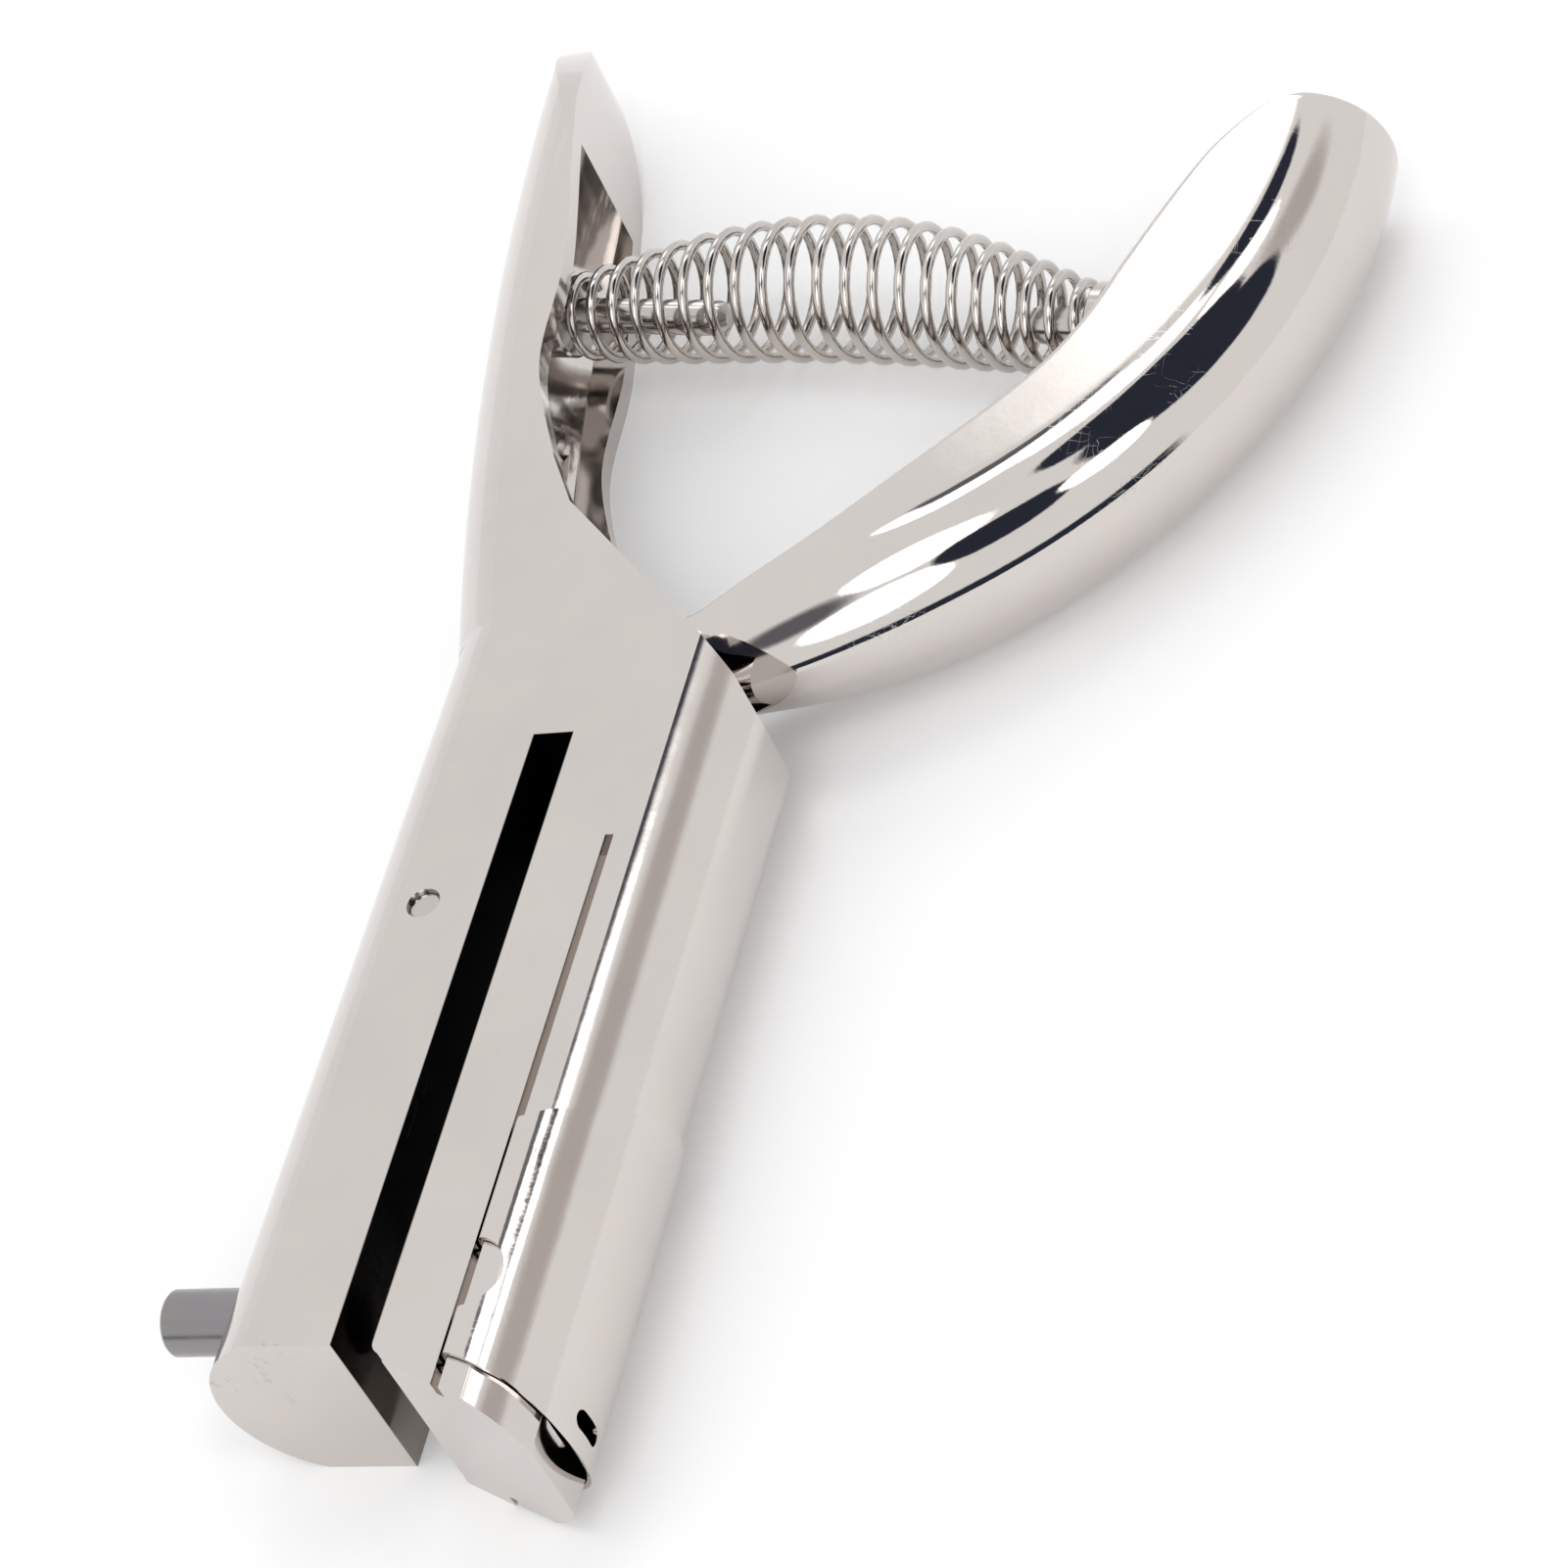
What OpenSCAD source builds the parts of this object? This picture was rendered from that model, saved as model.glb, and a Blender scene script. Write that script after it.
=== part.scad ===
// Plier-type hand hole punch with a deep throat, a sliding chip catcher and a return spring.
// Drawing frame: X across the throat from the punch jaw to the die jaw, Y along the jaws
// towards the handles, Z through the thickness. place() moves the origin onto the back face, on the
// throat's centre line just above its closed end, so that the tool lies on Z = 0.

/* [Body] */
// Thickness over the two flat faces
body_t = 19.5; // [16:0.5:26]
// How much rounder the two sides are than half the thickness
side_bulge = 0.55; // [0.3:0.05:2]
// Wall between the flat faces and the lever's cavity
body_wall = 2.85; // [2:0.05:4]
// Wall at the ends and sides of the cavity
end_wall = 2.5; // [2:0.1:4]
// Width of the punch jaw, from the throat to its rounded side
punch_jaw_w = 16.1; // [15.5:0.1:22]
// Width of the die jaw, from the throat to its rounded side
die_jaw_w = 17.6; // [15:0.1:22]
// Width of the throat that the sheet goes into
throat_gap = 4.2; // [3:0.1:6]
// Reach, from the punch's axis to the closed end of the throat
reach = 61.9; // [45:0.5:80]
// From the end of the punch jaw up to the punch's axis
punch_up = 9.6; // [8:0.1:14]
// Slope of the die jaw's end face
die_end_slope = 0.443; // [0:0.01:0.6]
// Rounding of the die jaw's corner at the mouth
mouth_r = 1.6; // [0.5:0.1:3]

/* [Punch and die] */
// Diameter of the punch and of the hole that it makes
punch_d = 6.35; // [3:0.05:8]
// How far the punch stands out of its jaw at rest
stem_out = 8.1; // [6:0.1:14]
// How far the punch's face sits back from the throat at rest
punch_back = 0.3; // [0.1:0.1:1]
// Diameter of the pin that drives the punch
drive_d = 2.6; // [1.5:0.1:3]
// Outside diameter of the die bush
die_d = 9.6; // [8:0.1:12]
// Length of the die bush
die_len = 8; // [5:0.1:10]
// Length of the die's cutting land
die_land = 3; // [1.5:0.1:4]
// Radial running clearance of the punch in its jaw and in the die
run_gap = 0.05; // [0.02:0.01:0.1]

/* [Pivot and drive arm] */
// From the punch's axis up to the pivot
arm_len = 41.3; // [35:0.1:55]
// From the throat in to the pivot
pivot_in = 6; // [5.5:0.1:9]
// Diameter of the pivot pin
pivot_d = 3.45; // [3:0.05:5]
// How far the pin's ends sit below the flat faces
pin_sink = 0.5; // [0.1:0.1:1.5]
// Radius of the lever's hub
hub_r = 4.2; // [3.5:0.1:5.5]
// Thickness of the drive arm
arm_t = 9.8; // [9:0.1:12]
// Width of the drive arm at its fork
fork_w = 4.2; // [4:0.1:6]
// Width of the drive arm at its hub
arm_w = 6; // [5:0.1:8]
// Lean of the drive arm at rest, in degrees
arm_lean = 6.356; // [4:0.1:8]

/* [Fixed handle] */
// Where the handle starts to lean out, above the end of the punch jaw
handle_y = 86; // [80:0.5:110]
// Lean of the handle where it starts, in degrees
handle_lean = 15.4; // [8:0.1:20]
// Radius of the long curve that the handle follows
handle_r = 420; // [250:5:900]
// Length of the handle along its curve
handle_len = 99; // [70:0.5:130]
// Depth of the handle's channel near the body
handle_deep = 11.5; // [8:0.1:16]
// Length of the handle's pointed tip
tip_len = 24; // [12:0.5:35]
// Wall of both handles
handle_wall = 2.3; // [1.5:0.1:3.5]

/* [Lever] */
// Width of the lever over its two sides
lever_w = 18.4; // [15:0.1:24]
// Radius of the lever's curved back
lever_r = 67.6; // [50:0.1:100]
// Start of the lever's back, across from the throat
lever_x = 3.7; // [0:0.1:15]
// Height of the back's lowest line above the closed end of the throat
lever_rise = 10; // [8:0.1:16]
// Angle from the lowest line round to the lever's tip, in degrees
lever_turn = 95; // [80:0.5:120]
// Depth of the lever's channel at its middle
lever_deep = 15.6; // [12:0.1:22]
// Length of the lever's rounded tip
lever_tip = 12; // [12:0.5:30]
// Gap from the lever's shoulders to the body's sloping top edge
shoulder_gap = 2.5; // [2:0.1:5]

/* [Spring] */
// Wire diameter of the return spring
wire_d = 1.15; // [0.8:0.05:1.6]
// Outside diameter of the spring at its middle
spring_mid_d = 15; // [11:0.1:17]
// Outside diameter of the spring at its two ends
spring_end_d = 9.2; // [8:0.1:12]
// Number of turns
spring_turns = 20.5; // [14:0.5:26]
// Length of the spring as fitted
spring_len = 63; // [50:0.5:80]
// Height of the spring's fixed end above the end of the punch jaw
spring_y = 140.6; // [125:0.5:160]
// Lean of the spring's axis, in degrees
spring_lean = 9; // [4:0.5:14]
// Diameter of the guide post inside the spring
post_d = 3.8; // [3:0.1:5]
// How far the guide post reaches into the spring
post_in = 19; // [10:0.5:25]
// Diameter of the stud's nose inside the spring
stud_d = 4; // [3:0.1:5]
// How far the stud's nose reaches into the spring
stud_in = 8; // [5:0.5:14]

/* [Chip catcher] */
// Sheet thickness of the catcher
sheet_t = 0.45; // [0.3:0.05:0.8]
// Gap between the catcher and the jaw
sheet_gap = 0.15; // [0.1:0.05:0.3]
// Width of the two grooves that hold the catcher's lips
groove_w = 0.9; // [0.8:0.05:1.5]
// Depth of the grooves from the flat faces
groove_deep = 1.5; // [1.2:0.1:2]
// From the die jaw's rounded side in to the grooves
groove_in = 10.4; // [9:0.1:12]
// Where the grooves end, above the end of the punch jaw
groove_top = 58.1; // [45:0.5:75]
// Bottom of the catcher's lips above the end of the punch jaw
catcher_y = -1.3; // [-4:0.1:20]
// Height of the catcher along its lips
catcher_h = 25.7; // [20:0.1:35]
// How much the catcher's two ends spread towards the rounded side
catcher_flare = 0.45; // [0:0.05:0.6]
// Radius of the thumb notch
notch_r = 3.75; // [2:0.05:5]
// Length of the small slot in the catcher's nose
vent_l = 4.4; // [2:0.1:6]
// Width of the small slot in the catcher's nose
vent_w = 1.9; // [1:0.1:3]
// Depth of the flat that is cut on the jaw behind the catcher
nose_flat = 1.3; // [0.8:0.1:3]

/* [Hidden] */
$fn = 96;
big = 300;
half = body_t / 2;
side_r = half + side_bulge;

// centres of the two rounded sides and the nose of the die jaw
left_cx = side_r - punch_jaw_w;
nose_x = throat_gap + die_jaw_w;
right_cx = nose_x - side_r;
throat_y = punch_up + reach;
pivot_x = -pivot_in;
pivot_y = punch_up + arm_len;
hole_r = punch_d / 2 + run_gap;
cavity_half = half - body_wall;
origin_up = 8;

// drive: the fork's pin hangs below the pivot and stands left of it by the arm's lean
drive_x = pivot_x - arm_len * tan(arm_lean);
tip_x = -punch_back;
stem_x = -punch_jaw_w - stem_out;
arm_half = arm_t / 2;
fork_in = punch_d / 2 + 0.28;
fork_end = 3;
fork_gap = 0.1;
arm_room = 0.3;
pocket_left = pivot_x - (arm_len + fork_end) * tan(arm_lean) - fork_w / 2 - arm_room;
pocket_right = -2.4;
pocket_y = punch_up - fork_end - 1.1;

// fixed handle: the long curve's centre, and the slope that trims the body's top
bend_x = -punch_jaw_w + handle_r * cos(handle_lean);
bend_y = handle_y + handle_r * sin(handle_lean);
handle_turn = handle_len / handle_r * 180 / PI;
slope_sum = throat_y + 26.5;
top_x = slope_sum - (throat_y + 8);
handle_end_y = bend_y - handle_r * sin(handle_lean - handle_turn);
left_limit = bend_x - handle_r - 10;
low_turn = 50 - handle_lean;
// the tips' pointed arches start a little outside the flat sides, so they cross them at an angle
arch_side = 0.3;
function arch(half_w, len) = (pow(half_w + arch_side, 2) + len * len) / (2 * (half_w + arch_side));

// lever: centre of its curved back
lever_cx = lever_x;
lever_cy = throat_y + lever_rise + lever_r;
lever_half = lever_w / 2;
lever_side_r = lever_half + 0.5;
lever_end_y = lever_cy + lever_r * sin(lever_turn - 90) + 1;
neck_half = cavity_half - arm_room;

// spring axis: from the seat at the fixed handle to the seat on the lever's stud
web_x = bend_x - sqrt(handle_r * handle_r - pow(spring_y - bend_y, 2));
seat_x = web_x + handle_wall + 6.4;
seat_gap = 0.08;
spring_dx = cos(spring_lean);
spring_dy = -sin(spring_lean);
stud_y = spring_y + spring_dy * spring_len;
stud_x = seat_x + spring_dx * spring_len;
// from the spring's axis origin along it to the inside of the lever's back
ax = seat_x - lever_cx;
ay = spring_y - lever_cy;
a_dot = ax * spring_dx + ay * spring_dy;
back_at = -a_dot + sqrt(a_dot * a_dot - ax * ax - ay * ay + lever_r * lever_r);

// chip catcher
track_drop = sheet_t + sheet_gap + 0.1;
track_half = half - track_drop;
groove_x = nose_x - groove_in;
lip_x = groove_x + (groove_w - sheet_t) / 2;
catcher_in = track_half + sheet_gap;
catcher_out = catcher_in + sheet_t;
// on the front the sleeve stands proud of the flat face; on the back it is let in, so the tool lies flat
front_in = half + sheet_gap;
front_out = front_in + sheet_t;
flat_x = nose_x - nose_flat;
chamber_half = 4;

module place() {
  translate([-throat_gap / 2, -throat_y - origin_up, half]) children();
}

// ---- frame ----

// what lies outside the rounded side that runs along Y: centre line at cx, round side of radius r
module outside_round(cx, side) {
  difference() {
    translate([side > 0 ? cx - 1 : cx - 89, -40, -half - 2]) cube([90, big, body_t + 4]);
    translate([cx, big, 0]) rotate([90, 0, 0]) cylinder(r = side_r, h = big + 50);
  }
}

// what lies outside the handle's rounded back, which follows the long curve
module outside_handle() {
  translate([bend_x, bend_y, 0])
    rotate([0, 0, 180 + handle_lean - handle_turn - 6])
      rotate_extrude(angle = handle_turn + 6 + low_turn, $fn = 360)
        difference() {
          translate([handle_r - side_r - 1, -half - 2]) square([90, body_t + 4]);
          translate([handle_r - side_r, 0]) circle(r = side_r);
        }
}

// the handle's outer or inner channel section, swept along the long curve
module handle_sweep(drop, start, turn) {
  translate([bend_x, bend_y, 0])
    rotate([0, 0, 180 + handle_lean - start - turn])
      rotate_extrude(angle = turn, $fn = 360)
        intersection() {
          translate([handle_r - 30, -half + drop]) square([40, body_t - 2 * drop]);
          union() {
            translate([handle_r - side_r, 0]) circle(r = side_r - drop);
            translate([handle_r - 22, -half - 1]) square([22 - side_r, body_t + 2]);
          }
        }
}

// front view of the frame, from the throat's mouth round the right side to the handle's tip
module frame_outline() {
  polygon([
    [left_limit, 0], [throat_gap / 2, 0], [throat_gap / 2, -die_end_slope * 0.4],
    [throat_gap, -die_end_slope * 2.6], [nose_x + 2, -die_end_slope * (nose_x + 0.4)],
    [nose_x + 2, throat_y + 3], [nose_x, throat_y + 3.5],
    [top_x, slope_sum - top_x], [-5, slope_sum + 5], [-8.6, slope_sum + 11.5],
    [-hx_at(0), handle_y + 37.5], [-hx_at(1), handle_y + 53],
    [-hx_at(2), handle_y + 71], [-hx_at(3), handle_end_y - 11], [-hx_at(4), handle_end_y],
    [left_limit, handle_end_y + 6]
  ]);
}

// the channel's free edge: its distance in from the handle's back shrinks towards the tip
function back_at_y(y) = bend_x - sqrt(handle_r * handle_r - pow(y - bend_y, 2));
edge_y = [handle_y + 37.5, handle_y + 53, handle_y + 71, handle_end_y - 11, handle_end_y];
edge_deep = [handle_deep - 1.2, handle_deep - 0.2, handle_deep - 2.1, handle_deep - 4.2, 2.6];
function hx_at(i) = -(back_at_y(edge_y[i]) + edge_deep[i]);

module tip_cut(end_y, len, half_w) {
  r = arch(half_w, len);
  for (s = [-1, 1])
    difference() {
      translate([-big / 2, end_y - len, s > 0 ? 0 : -30]) cube([big, len + 30, 30]);
      translate([-big / 2 - 1, end_y - len, -s * (r - half_w - arch_side)]) rotate([0, 90, 0])
        cylinder(r = r, h = big + 2, $fn = 180);
    }
}

module cavity() {
  // for the drive arm
  translate([0, 0, -arm_half - arm_room]) linear_extrude(arm_t + 2 * arm_room)
    polygon([[pocket_left, pocket_y], [pocket_right, pocket_y], [pocket_right, pivot_y - 4],
             [pocket_left, pivot_y - 4]]);
  // for the hub, the neck and the space between the walls
  left = pivot_x - hub_r - 1;
  right = pivot_x + hub_r + 0.35;
  translate([0, 0, -cavity_half]) linear_extrude(2 * cavity_half)
    polygon([[left, pivot_y - hub_r - 1.5], [right, pivot_y - hub_r - 1.5],
             [right, throat_y + end_wall], [nose_x - end_wall, throat_y + end_wall],
             [nose_x - end_wall, throat_y + 40], [10, throat_y + 70],
             [back_at_y(handle_y + 40) + 5.5, handle_y + 40],
             [back_at_y(handle_y + 14) + 5.8, handle_y + 14], [left, handle_y + 1]]);
}

module frame_raw() {
  difference() {
    translate([0, 0, -half]) linear_extrude(body_t) frame_outline();
    outside_round(right_cx, 1);
    intersection() {
      outside_round(left_cx, -1);
      outside_handle();
    }
  }
}

module catcher_track() {
  for (s = [0, 1]) mirror([0, 0, s]) {
    translate([groove_x, -30, half - groove_deep]) cube([groove_w, 30 + groove_top, 5]);
  }
  translate([groove_x + groove_w / 2, -30, -track_half - 5]) cube([40, 30 + groove_top, 5]);
  // flat on the nose, with the chip chamber sunk in it
  chamber_y0 = -4.4;
  translate([flat_x, -30, -half - 1])
    cube([20, 30 + catcher_y + catcher_h, body_t + 2]);
  translate([nose_x - nose_flat - 4, chamber_y0, -chamber_half])
    cube([20, catcher_y + catcher_h - 2.4 - chamber_y0, 2 * chamber_half]);
}

module frame() {
  color([0.75, 0.74, 0.72]) place() difference() {
    frame_raw();
    cavity();
    // inside of the handle's channel
    handle_sweep(handle_wall, 2.2, handle_turn + 4);
    tip_cut(handle_end_y, tip_len, half);
    // throat
    translate([0, -40, -half - 1]) cube([throat_gap, 40 + throat_y, body_t + 2]);
    translate([throat_gap, -40, -half - 1]) difference() {
      cube([mouth_r, 40 + mouth_r - 2.6 * die_end_slope, body_t + 2]);
      translate([mouth_r, 40 + mouth_r - 2.6 * die_end_slope, -1]) cylinder(r = mouth_r, h = body_t + 4);
    }
    // pivot pin's bore
    translate([pivot_x, pivot_y, -half - 1]) cylinder(d = pivot_d, h = body_t + 2);
    // punch's bore through both walls of its jaw
    translate([-punch_jaw_w - 5, punch_up, 0]) rotate([0, 90, 0])
      cylinder(r = hole_r, h = punch_jaw_w + 5.5);
    // die bush's seat and the way out for the chips
    translate([throat_gap - 0.5, punch_up, 0]) rotate([0, 90, 0]) cylinder(d = die_d, h = die_len + 0.5);
    translate([throat_gap, punch_up, 0]) rotate([0, 90, 0]) cylinder(d = die_d - 2, h = die_jaw_w);
    catcher_track();
    // guide post's bore through the handle's back
    translate([seat_x, spring_y, 0]) rotate([0, 0, -spring_lean]) rotate([0, 90, 0])
      translate([0, 0, -20]) cylinder(d = post_d, h = 20);
  }
}

// ---- fixed pieces ----

module die_bush() {
  color([0.35, 0.36, 0.38]) place() translate([throat_gap, punch_up, 0]) rotate([0, 90, 0])
    difference() {
      cylinder(d = die_d, h = die_len);
      translate([0, 0, -1]) cylinder(r = hole_r, h = die_len + 2);
      translate([0, 0, die_land]) cylinder(r = hole_r + 0.4, h = die_len);
    }
}

module pivot_pin() {
  color([0.6, 0.6, 0.62]) place() translate([pivot_x, pivot_y, -half + pin_sink])
    cylinder(d = pivot_d, h = body_t - 2 * pin_sink);
}

// turned post: its tail is pressed through the handle's back, its shoulder seats the spring
module guide_post() {
  color([0.62, 0.62, 0.64]) place() translate([seat_x, spring_y, 0]) rotate([0, 0, -spring_lean])
    rotate([0, 90, 0]) {
      translate([0, 0, -8.4]) cylinder(d = post_d, h = 8.4 + post_in);
      translate([0, 0, -4.6]) cylinder(d = spring_end_d, h = 4.6);
    }
}

// ---- return spring: a barrel-shaped coil swept as a round wire ----

steps = 16;
sides = 6;
coil_n = floor(spring_turns * steps);
function coil_r(t) = (spring_end_d + (spring_mid_d - spring_end_d) * sin(180 * t) - wire_d) / 2;
// closed turns at both ends, so the pitch grows from one wire's width to its full value
function coil_z(t) = wire_d / 2 + seat_gap
  + (spring_len - wire_d - 2 * seat_gap) * (t - 0.055 * sin(360 * t) / (2 * PI) * 2);
function coil_ring(i) = let (t = i / coil_n, a = 360 * spring_turns * t, r = coil_r(t), z = coil_z(t))
  [for (k = [0:sides - 1]) let (b = 360 * k / sides, q = r + wire_d / 2 * cos(b))
    [q * cos(a), q * sin(a), z + wire_d / 2 * sin(b)]];

module handle_spring() {
  pts = [for (i = [0:coil_n]) each coil_ring(i)];
  skin = [for (i = [0:coil_n - 1], k = [0:sides - 1]) let (a = i * sides + k,
          b = i * sides + (k + 1) % sides, c = b + sides, d = a + sides) each [[a, b, c], [a, c, d]]];
  caps = [[for (k = [0:sides - 1]) sides - 1 - k], [for (k = [0:sides - 1]) coil_n * sides + k]];
  color([0.55, 0.55, 0.57]) place() translate([seat_x, spring_y, 0]) rotate([0, 0, -spring_lean])
    rotate([0, 90, 0]) polyhedron(points = pts, faces = concat(skin, caps), convexity = 10);
}

// ---- lever ----

module lever_section(drop, deep) {
  intersection() {
    translate([lever_r - deep, -lever_half + drop]) square([deep - drop, lever_w - 2 * drop]);
    union() {
      translate([lever_r - lever_side_r, 0]) circle(r = lever_side_r - drop);
      translate([lever_r - deep - 1, -lever_half])
        square([deep + 1 - lever_side_r, lever_w]);
    }
  }
}

module lever_sweep(drop, deep, from, to) {
  translate([lever_cx, lever_cy, 0]) rotate([0, 0, from - 90])
    rotate_extrude(angle = to - from, $fn = 240) lever_section(drop, deep);
}

// the free edge of the lever's sides is one long curve too
edge_r = 116.6;
edge_cx = lever_cx + lever_r * cos(-23) - lever_deep * cos(-23) - edge_r * cos(-28);
edge_cy = lever_cy + lever_r * sin(-23) - lever_deep * sin(-23) - edge_r * sin(-28);

module lever_channel() {
  intersection() {
    difference() {
      lever_sweep(0, 26, -6, lever_turn);
      lever_sweep(handle_wall, 27, -8, lever_turn + 2);
      translate([edge_cx, edge_cy, -half]) cylinder(r = edge_r, h = body_t, $fn = 300);
      tip_cut(lever_end_y, lever_tip, lever_half);
    }
    // shoulders, square to the body's sloping top edge
    translate([0, slope_sum + shoulder_gap * sqrt(2), -half - 1]) rotate([0, 0, -45])
      translate([-80, 0, 0]) cube([200, 200, body_t + 2]);
  }
}

// neck between the body's walls, from the hub up round the throat's end to the channel
module neck_outline() {
  b = throat_y;
  polygon([[pivot_x - hub_r + 0.5, pivot_y], [pivot_x - 3, pivot_y + 11], [pivot_x + 1.5, b + 8],
           [pivot_x + 7.5, b + 17.5], [lever_cx + 10.2, b + 20], [lever_cx + 17.5, b + 21],
           [lever_cx + 21.5, lever_cy - lever_r * 0.93],
           [lever_cx + 15, lever_cy - lever_r + 2.6], [lever_cx + 4, b + lever_rise + 1],
           [throat_gap - 2.5, b + 7.2], [-1.9, b + 4.5], [pivot_x + hub_r - 0.3, pivot_y + 2],
           [pivot_x + hub_r - 0.5, pivot_y]]);
}

module drive_arm() {
  translate([pivot_x, pivot_y, 0]) rotate([0, 0, -arm_lean]) {
    reach_d = arm_len / cos(arm_lean);
    difference() {
      translate([0, 0, -arm_half]) linear_extrude(arm_t)
        polygon([[-arm_w / 2, 0], [-fork_w / 2, -reach_d + 9], [-fork_w / 2, -reach_d - fork_end],
                 [fork_w / 2, -reach_d - fork_end], [fork_w / 2, -reach_d + 9], [arm_w / 2, 0]]);
      // gap for the punch between the fork's two tines
      translate([-10, -reach_d - 10, -fork_in]) cube([20, 10 + hole_r + 1.6, 2 * fork_in]);
      // open slot for the drive pin
      translate([0, -reach_d + 0.5, -half]) cylinder(d = drive_d + fork_gap, h = body_t);
      translate([-(drive_d + fork_gap) / 2, -reach_d - 10, -half])
        cube([drive_d + fork_gap, 10.5, body_t]);
    }
  }
}

module lever() {
  color([0.8, 0.8, 0.82]) place() difference() {
    union() {
      lever_channel();
      difference() {
        translate([0, 0, -neck_half]) linear_extrude(2 * neck_half) neck_outline();
        // lightening pocket between the neck's two sides
        translate([0, 0, -neck_half + handle_wall]) linear_extrude(2 * neck_half - 2 * handle_wall)
          polygon([[pivot_x + 4, throat_y + 11], [lever_cx + 5, throat_y + lever_rise + 4.5],
                   [lever_cx + 20, throat_y + lever_rise + 8.5], [lever_cx + 24, throat_y + 40],
                   [pivot_x + 4, throat_y + 40]]);
      }
      translate([pivot_x, pivot_y, -neck_half]) cylinder(r = hub_r, h = 2 * neck_half);
      drive_arm();
    }
    translate([pivot_x, pivot_y, -half]) cylinder(d = pivot_d + 2 * run_gap, h = body_t);
    // seat of the spring stud
    translate([seat_x, spring_y, 0]) rotate([0, 0, -spring_lean]) rotate([0, 90, 0])
      translate([0, 0, back_at - 6]) cylinder(d = stud_d, h = 12);
  }
}

// stud that centres the spring on the lever, pressed into the lever's back
module spring_stud() {
  stem = back_at - spring_len;
  color([0.6, 0.6, 0.62]) place() translate([seat_x, spring_y, 0]) rotate([0, 0, -spring_lean])
    rotate([0, 90, 0]) translate([0, 0, spring_len]) {
      translate([0, 0, -stud_in]) cylinder(d = stud_d, h = stud_in + stem - 0.8);
      cylinder(d = spring_end_d + 1.2, h = 1.6);
      cylinder(d = stud_d + 2, h = stem - handle_wall - 1.9);
    }
}

// ---- punch ----

module punch() {
  color([0.45, 0.45, 0.47]) place() difference() {
    translate([stem_x, punch_up, 0]) rotate([0, 90, 0]) cylinder(d = punch_d, h = tip_x - stem_x);
    translate([drive_x, punch_up, -half]) cylinder(d = drive_d, h = body_t);
  }
}

module drive_pin() {
  color([0.6, 0.6, 0.62]) place() translate([drive_x, punch_up, -arm_half - 0.05])
    cylinder(d = drive_d, h = arm_t + 0.1);
}

// ---- chip catcher: a sheet sleeve round the die jaw, its lips in the two grooves ----

module catcher_profile(back, front, r) {
  intersection() {
    translate([lip_x, -back]) square([60, back + front]);
    union() {
      translate([right_cx, 0]) circle(r = r);
      translate([lip_x - 1, -half - 1]) square([right_cx - lip_x + 1.5, body_t + 2]);
    }
  }
}

module chip_catcher() {
  y1 = catcher_y + catcher_h;
  spread = catcher_flare * (nose_x + 1 - lip_x);
  color([0.78, 0.77, 0.74]) place() difference() {
    translate([0, 60, 0]) rotate([90, 0, 0]) linear_extrude(90) difference() {
      catcher_profile(catcher_out, front_out, side_r + sheet_gap + sheet_t);
      intersection() {
        catcher_profile(catcher_in, front_in, side_r + sheet_gap);
        translate([lip_x + sheet_t, -half - 1]) square([60, body_t + 2]);
      }
      translate([lip_x - 1, -track_half + 0.55]) square([sheet_t + 2, 2 * track_half - 1.1]);
    }
    // both ends spread towards the rounded side
    translate([0, 0, -half - 1]) linear_extrude(body_t + 2) {
      polygon([[lip_x - 1, y1], [lip_x + 0.5, y1], [nose_x + 1, y1 + spread],
               [nose_x + 1, y1 + 80], [lip_x - 1, y1 + 80]]);
      polygon([[lip_x - 1, catcher_y], [lip_x + 0.5, catcher_y], [nose_x + 1, catcher_y - spread],
               [nose_x + 1, catcher_y - 80], [lip_x - 1, catcher_y - 80]]);
    }
    // thumb notch in the front lip
    translate([lip_x, catcher_y + 8.6, 0]) cylinder(r = notch_r, h = half + 1);
    // small slot across the nose
    translate([nose_x - 3, catcher_y - 1.3, 0]) rotate([0, 90, 0]) union() {
      for (s = [-1, 1]) translate([s * (vent_l - vent_w) / 2, 0, 0]) cylinder(d = vent_w, h = 6);
      translate([-(vent_l - vent_w) / 2, -vent_w / 2, 0]) cube([vent_l - vent_w, vent_w, 6]);
    }
  }
}

frame();
die_bush();
pivot_pin();
guide_post();
handle_spring();
lever();
spring_stud();
punch();
drive_pin();
chip_catcher();
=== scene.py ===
import bpy
import math
from mathutils import Matrix, Vector


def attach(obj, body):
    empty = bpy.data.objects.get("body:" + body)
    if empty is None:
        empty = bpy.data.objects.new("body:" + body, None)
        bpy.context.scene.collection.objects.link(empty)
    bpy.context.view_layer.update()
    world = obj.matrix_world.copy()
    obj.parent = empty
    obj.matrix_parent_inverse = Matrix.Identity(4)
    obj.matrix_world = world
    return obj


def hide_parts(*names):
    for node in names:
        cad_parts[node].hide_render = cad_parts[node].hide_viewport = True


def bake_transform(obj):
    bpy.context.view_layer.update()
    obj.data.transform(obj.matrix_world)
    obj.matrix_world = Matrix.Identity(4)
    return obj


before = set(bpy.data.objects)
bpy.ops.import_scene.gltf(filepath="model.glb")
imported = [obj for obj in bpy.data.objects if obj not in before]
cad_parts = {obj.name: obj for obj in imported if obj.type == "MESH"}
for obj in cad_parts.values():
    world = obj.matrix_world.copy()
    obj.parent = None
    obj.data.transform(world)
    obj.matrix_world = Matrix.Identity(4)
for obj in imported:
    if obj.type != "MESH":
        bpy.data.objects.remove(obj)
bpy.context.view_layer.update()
scene = bpy.context.scene


# ---- sizes, in millimetres, in the drawing's own frame; settle() moves a piece to its place ----

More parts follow.
